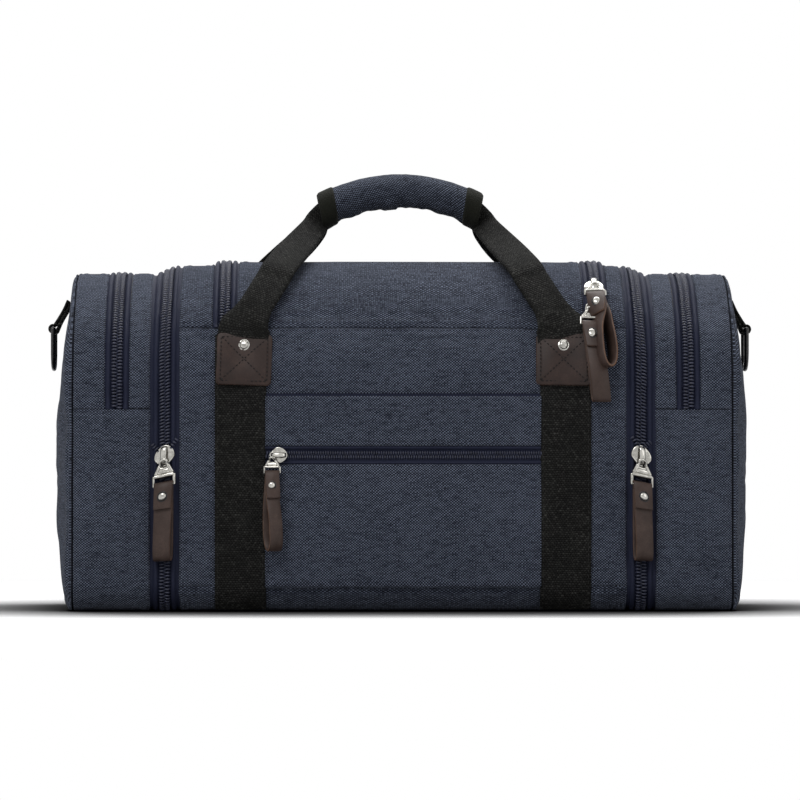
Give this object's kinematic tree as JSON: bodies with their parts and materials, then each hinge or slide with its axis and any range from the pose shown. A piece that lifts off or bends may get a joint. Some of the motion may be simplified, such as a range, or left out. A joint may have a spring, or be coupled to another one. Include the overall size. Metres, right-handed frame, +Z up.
{
  "type": "weekender bag",
  "caption": "Expandable canvas weekender bag with a zipped lid, side-opening end pockets, sliding ends, a zipped front pocket, leather pulls and two carry handles.",
  "frame": {"origin": "centre of the bag's footprint, on the floor it stands on", "axes": "+X along the bag to the right as seen from the front, -Y out of the front with the zipped pocket, +Z up"},
  "size_m": [0.5504, 0.2623, 0.3349],
  "materials": {
    "canvas": "heathered navy canvas",
    "webbing": "black cotton webbing",
    "tape": "dark navy zip tape and nylon coil",
    "leather": "dark brown smooth leather",
    "nickel": "polished nickel",
    "dark_metal": "black nickel",
    "board": "black stiffening board"
  },
  "bodies": {
    "bag": {"bottom_panel": "canvas", "base_board": "board", "front_panel": "canvas", "back_panel": "canvas", "top_border_left": "canvas", "top_border_right": "canvas", "top_zip_tape_outer": "tape", "front_pocket_panel": "canvas", "front_pocket_zip": "tape", "webbing_front_left": "webbing", "webbing_front_right": "webbing", "webbing_back_left": "webbing", "webbing_back_right": "webbing", "patch_front_left": "leather", "patch_front_right": "leather", "patch_back_left": "leather", "patch_back_right": "leather", "patch_rivet_left": "nickel", "patch_rivet_right": "nickel", "left_girth_zip_tape_inner": "tape", "left_expansion_bellows": "canvas", "right_girth_zip_tape_inner": "tape", "right_expansion_bellows": "canvas"},
    "lid": {"lid_panel": "canvas", "top_zip_tape_inner": "tape"},
    "front_handle": {"front_handle_webbing": "webbing", "grip_wrap": "canvas"},
    "back_handle": {"back_handle_webbing": "webbing"},
    "front_pocket_slider": {"front_pocket_slider": "nickel"},
    "front_pocket_pull": {"front_pocket_pull": "leather"},
    "top_slider_upper": {"top_slider_upper": "nickel"},
    "top_pull_upper": {"top_pull_upper": "leather"},
    "top_slider_lower": {"top_slider_lower": "nickel"},
    "top_pull_lower": {"top_pull_lower": "leather"},
    "left_end": {"left_girth_zip_tape_outer": "tape", "left_end_gusset": "canvas", "left_end_divider": "canvas", "left_end_panel": "canvas", "left_pocket_zip_tape_inner": "tape"},
    "left_flap": {"left_end_flap": "canvas", "left_pocket_zip_tape_outer": "tape", "left_ring_tab": "webbing"},
    "left_d_ring": {"left_d_ring": "dark_metal"},
    "left_girth_slider": {"left_girth_slider": "nickel"},
    "left_girth_pull": {"left_girth_pull": "leather"},
    "left_end_pocket_slider": {"left_end_pocket_slider": "nickel"},
    "left_end_pocket_pull": {"left_end_pocket_pull": "leather"},
    "right_end": {"right_girth_zip_tape_outer": "tape", "right_end_gusset": "canvas", "right_end_divider": "canvas", "right_end_panel": "canvas", "right_pocket_zip_tape_inner": "tape"},
    "right_flap": {"right_end_flap": "canvas", "right_pocket_zip_tape_outer": "tape", "right_ring_tab": "webbing"},
    "right_d_ring": {"right_d_ring": "dark_metal"},
    "right_girth_slider": {"right_girth_slider": "nickel"},
    "right_girth_pull": {"right_girth_pull": "leather"},
    "right_end_pocket_slider": {"right_end_pocket_slider": "nickel"},
    "right_end_pocket_pull": {"right_end_pocket_pull": "leather"}
  },
  "joints": [
    {"name": "back_handle_swing", "type": "hinge", "parent": "bag", "child": "back_handle", "pos_m": [0, 0.12141, 0.20591], "axis": [-1, 0, 0], "range_deg": [0, 165]},
    {"name": "front_handle_swing", "type": "hinge", "parent": "bag", "child": "front_handle", "pos_m": [0, -0.12141, 0.20591], "axis": [1, 0, 0], "range_deg": [0, 165]},
    {"name": "lid_open", "type": "hinge", "parent": "bag", "child": "lid", "pos_m": [0, -0.08035, 0.249], "axis": [1, 0, 0], "range_deg": [0, 65]},
    {"name": "front_pocket_slide", "type": "slide", "parent": "bag", "child": "front_pocket_slider", "axis": [1, 0, 0], "range_m": [0, 0.18]},
    {"name": "front_pocket_pull_swing", "type": "hinge", "parent": "front_pocket_slider", "child": "front_pocket_pull", "pos_m": [-0.0909, -0.13005, 0.116], "axis": [-1, 0, 0], "range_deg": [0, 105]},
    {"name": "top_slider_upper_run", "type": "hinge", "parent": "bag", "child": "top_slider_upper", "pos_m": [0.145, -0.03, 0.172], "axis": [-1, 0, 0], "range_deg": [0, 40]},
    {"name": "top_slider_lower_run", "type": "hinge", "parent": "bag", "child": "top_slider_lower", "pos_m": [0.145, -0.03, 0.172], "axis": [-1, 0, 0], "range_deg": [0, 36]},
    {"name": "top_pull_upper_swing", "type": "hinge", "parent": "top_slider_upper", "child": "top_pull_upper", "pos_m": [0.145, -0.09525, 0.24478], "axis": [-1, 0, 0], "range_deg": [0, 150]},
    {"name": "top_pull_lower_swing", "type": "hinge", "parent": "top_slider_lower", "child": "top_pull_lower", "pos_m": [0.145, -0.11064, 0.22725], "axis": [-1, 0, 0], "range_deg": [0, 150]},
    {"name": "left_end_expand", "type": "slide", "parent": "bag", "child": "left_end", "axis": [-1, 0, 0], "range_m": [0, 0.05], "deforming": ["left_expansion_bellows"]},
    {"name": "left_flap_open", "type": "hinge", "parent": "left_end", "child": "left_flap", "pos_m": [-0.265, 0, 0.15], "axis": [0, -1, 0], "range_deg": [0, 95]},
    {"name": "left_d_ring_swing", "type": "hinge", "parent": "left_flap", "child": "left_d_ring", "pos_m": [-0.27025, 0, 0.214], "axis": [0, 1, 0], "range_deg": [0, 150]},
    {"name": "left_girth_slide", "type": "slide", "parent": "bag", "child": "left_girth_slider", "axis": [0, 0, -1], "range_m": [0, 0.035]},
    {"name": "left_girth_pull_swing", "type": "hinge", "parent": "left_girth_slider", "child": "left_girth_pull", "pos_m": [-0.1775, -0.12775, 0.122], "axis": [-1, 0, 0], "range_deg": [0, 150]},
    {"name": "left_end_pocket_run", "type": "hinge", "parent": "left_end", "child": "left_end_pocket_slider", "pos_m": [-0.213, 0.028, 0.166], "axis": [1, 0, 0], "range_deg": [0, 75]},
    {"name": "left_end_pocket_pull_swing", "type": "hinge", "parent": "left_end_pocket_slider", "child": "left_end_pocket_pull", "pos_m": [-0.213, 0.12575, 0.16], "axis": [1, 0, 0], "range_deg": [0, 150]},
    {"name": "right_end_expand", "type": "slide", "parent": "bag", "child": "right_end", "axis": [1, 0, 0], "range_m": [0, 0.05], "deforming": ["right_expansion_bellows"]},
    {"name": "right_flap_open", "type": "hinge", "parent": "right_end", "child": "right_flap", "pos_m": [0.265, 0, 0.15], "axis": [0, 1, 0], "range_deg": [0, 95]},
    {"name": "right_d_ring_swing", "type": "hinge", "parent": "right_flap", "child": "right_d_ring", "pos_m": [0.27025, 0, 0.214], "axis": [0, -1, 0], "range_deg": [0, 150]},
    {"name": "right_girth_slide", "type": "slide", "parent": "bag", "child": "right_girth_slider", "axis": [0, 0, -1], "range_m": [0, 0.035]},
    {"name": "right_girth_pull_swing", "type": "hinge", "parent": "right_girth_slider", "child": "right_girth_pull", "pos_m": [0.1775, -0.12775, 0.122], "axis": [-1, 0, 0], "range_deg": [0, 150]},
    {"name": "right_end_pocket_run", "type": "hinge", "parent": "right_end", "child": "right_end_pocket_slider", "pos_m": [0.213, 0.028, 0.166], "axis": [1, 0, 0], "range_deg": [0, 75]},
    {"name": "right_end_pocket_pull_swing", "type": "hinge", "parent": "right_end_pocket_slider", "child": "right_end_pocket_pull", "pos_m": [0.213, 0.12575, 0.16], "axis": [1, 0, 0], "range_deg": [0, 150]}
  ],
  "couplings": [
    {"joint": "front_handle_swing", "follows": "back_handle_swing", "ratio": 1},
    {"joint": "lid_open", "follows": "back_handle_swing", "ratio": 0.38},
    {"joint": "top_slider_lower_run", "follows": "top_slider_upper_run", "ratio": 0.9}
  ]
}
